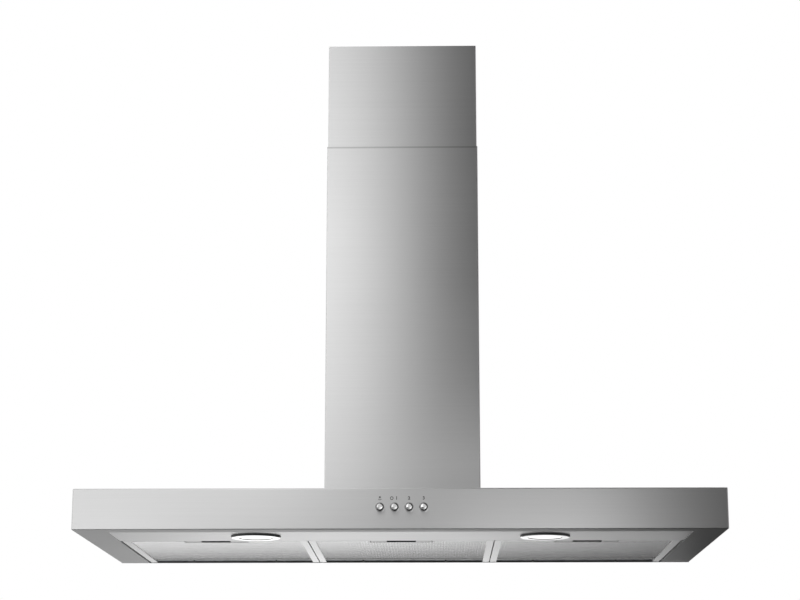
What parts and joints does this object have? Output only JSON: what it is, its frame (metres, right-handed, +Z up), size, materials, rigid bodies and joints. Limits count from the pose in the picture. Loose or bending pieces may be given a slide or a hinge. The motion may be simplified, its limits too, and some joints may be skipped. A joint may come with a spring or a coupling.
{
  "type": "chimney range hood",
  "caption": "Wall-mounted chimney extractor hood with a flat box canopy, front push buttons, lamps, hinged grease filters and a telescopic chimney around a blower.",
  "frame": {"origin": "on the wall plane, on the hood's centre line, level with the underside of the canopy", "axes": "+X to the right seen from the front, +Y back into the wall, +Z up"},
  "size_m": [0.898, 0.46, 0.7945],
  "materials": {
    "brushed_steel": "fine horizontal brushed grain",
    "galvanised_steel": "galvanised sheet, matt with a faint spangle",
    "black_enamel": "black enamel on the filter bay's rear rail",
    "printed_ink": "dark grey print over the buttons",
    "zinc_screw": "zinc plated",
    "chrome": "polished",
    "spring_steel": "drawn wire",
    "aluminium_mesh": "expanded mesh",
    "black_plastic": "moulded, satin",
    "frosted_glass": "frosted",
    "lamp_ceramic": "ceramic socket with a clear capsule",
    "motor_housing_paint": "black lacquer",
    "motor_iron": "varnished laminations",
    "capacitor_case": "plain moulded case",
    "wire_sheath": "PVC sheath"
  },
  "bodies": {
    "hood": {"canopy_shell": "brushed_steel", "canopy_rear_panel": "galvanised_steel", "lower_chimney": "brushed_steel", "light_panel": "brushed_steel", "filter_support_rail": "black_enamel", "filter_hanger_rod": "galvanised_steel", "switch_block": "black_plastic", "blower_box": "galvanised_steel", "blower_box_screws": "zinc_screw", "outlet_collar": "black_plastic", "flap_pin": "galvanised_steel", "scroll_left": "black_plastic", "scroll_right": "black_plastic", "motor_housing": "motor_housing_paint", "motor_stator": "motor_iron", "motor_bearings": "motor_iron", "motor_spider": "galvanised_steel", "inlet_guard": "spring_steel", "motor_capacitor": "capacitor_case", "terminal_box": "black_plastic", "lamp_supply": "capacitor_case", "wiring_loom": "wire_sheath", "button_spring_light": "spring_steel", "button_spring_speed_1": "spring_steel", "button_spring_speed_2": "spring_steel", "button_spring_speed_3": "spring_steel", "lamp_can_left": "galvanised_steel", "lamp_bezel_left": "chrome", "lamp_lens_left": "frosted_glass", "lamp_bulb_left": "lamp_ceramic", "lamp_can_right": "galvanised_steel", "lamp_bezel_right": "chrome", "lamp_lens_right": "frosted_glass", "lamp_bulb_right": "lamp_ceramic"},
    "chimney_extension": {"upper_chimney": "brushed_steel", "chimney_wall_bracket": "galvanised_steel", "chimney_cover_screws": "zinc_screw"},
    "flap_front": {"check_flap_front": "black_plastic"},
    "flap_rear": {"check_flap_rear": "black_plastic"},
    "fan_wheel": {"impeller": "black_plastic", "motor_rotor": "motor_iron"},
    "filter_1": {"filter_frame_1": "brushed_steel", "filter_media_1": "aluminium_mesh", "latch_cup_1": "black_plastic", "latch_spring_1": "spring_steel"},
    "latch_1": {"latch_plate_1": "brushed_steel"},
    "filter_2": {"filter_frame_2": "brushed_steel", "filter_media_2": "aluminium_mesh", "latch_cup_2": "black_plastic", "latch_spring_2": "spring_steel"},
    "latch_2": {"latch_plate_2": "brushed_steel"},
    "filter_3": {"filter_frame_3": "brushed_steel", "filter_media_3": "aluminium_mesh", "latch_cup_3": "black_plastic", "latch_spring_3": "spring_steel"},
    "latch_3": {"latch_plate_3": "brushed_steel"},
    "light_button": {"button_light": "chrome"},
    "speed_1_button": {"button_speed_1": "chrome"},
    "speed_2_button": {"button_speed_2": "chrome"},
    "speed_3_button": {"button_speed_3": "chrome"}
  },
  "joints": [
    {"name": "chimney_extension_slide", "type": "slide", "parent": "hood", "child": "chimney_extension", "axis": [0, 0, 1], "range_m": [-0.13, 0.304]},
    {"name": "fan_spin", "type": "hinge", "parent": "hood", "child": "fan_wheel", "pos_m": [0, -0.098, 0.146], "axis": [1, 0, 0], "continuous": true},
    {"name": "front_flap_hinge", "type": "hinge", "parent": "hood", "child": "flap_front", "pos_m": [0, -0.108, 0.3077], "axis": [-1, 0, 0], "range_deg": [0, 75]},
    {"name": "rear_flap_hinge", "type": "hinge", "parent": "hood", "child": "flap_rear", "pos_m": [0, -0.108, 0.3077], "axis": [1, 0, 0], "range_deg": [0, 75]},
    {"name": "filter_1_hinge", "type": "hinge", "parent": "hood", "child": "filter_1", "pos_m": [0, -0.007, 0.0045], "axis": [1, 0, 0], "range_deg": [0, 45]},
    {"name": "latch_1_slide", "type": "slide", "parent": "filter_1", "child": "latch_1", "axis": [0, 1, 0], "range_m": [0, 0.006], "stiffness_N_per_m": 400, "springref_m": -0.003, "deforming": ["latch_spring_1"]},
    {"name": "filter_2_hinge", "type": "hinge", "parent": "hood", "child": "filter_2", "pos_m": [0, -0.007, 0.0045], "axis": [1, 0, 0], "range_deg": [0, 45]},
    {"name": "latch_2_slide", "type": "slide", "parent": "filter_2", "child": "latch_2", "axis": [0, 1, 0], "range_m": [0, 0.006], "stiffness_N_per_m": 400, "springref_m": -0.003, "deforming": ["latch_spring_2"]},
    {"name": "filter_3_hinge", "type": "hinge", "parent": "hood", "child": "filter_3", "pos_m": [0, -0.007, 0.0045], "axis": [1, 0, 0], "range_deg": [0, 45]},
    {"name": "latch_3_slide", "type": "slide", "parent": "filter_3", "child": "latch_3", "axis": [0, 1, 0], "range_m": [0, 0.006], "stiffness_N_per_m": 400, "springref_m": -0.003, "deforming": ["latch_spring_3"]},
    {"name": "light_button_press", "type": "slide", "parent": "hood", "child": "light_button", "axis": [0, 1, 0], "range_m": [0, 0.004], "stiffness_N_per_m": 500, "springref_m": -0.003, "deforming": ["button_spring_light"]},
    {"name": "speed_1_button_press", "type": "slide", "parent": "hood", "child": "speed_1_button", "axis": [0, 1, 0], "range_m": [0, 0.004], "stiffness_N_per_m": 500, "springref_m": -0.003, "deforming": ["button_spring_speed_1"]},
    {"name": "speed_2_button_press", "type": "slide", "parent": "hood", "child": "speed_2_button", "axis": [0, 1, 0], "range_m": [0, 0.004], "stiffness_N_per_m": 500, "springref_m": -0.003, "deforming": ["button_spring_speed_2"]},
    {"name": "speed_3_button_press", "type": "slide", "parent": "hood", "child": "speed_3_button", "axis": [0, 1, 0], "range_m": [0, 0.004], "stiffness_N_per_m": 500, "springref_m": -0.003, "deforming": ["button_spring_speed_3"]}
  ]
}
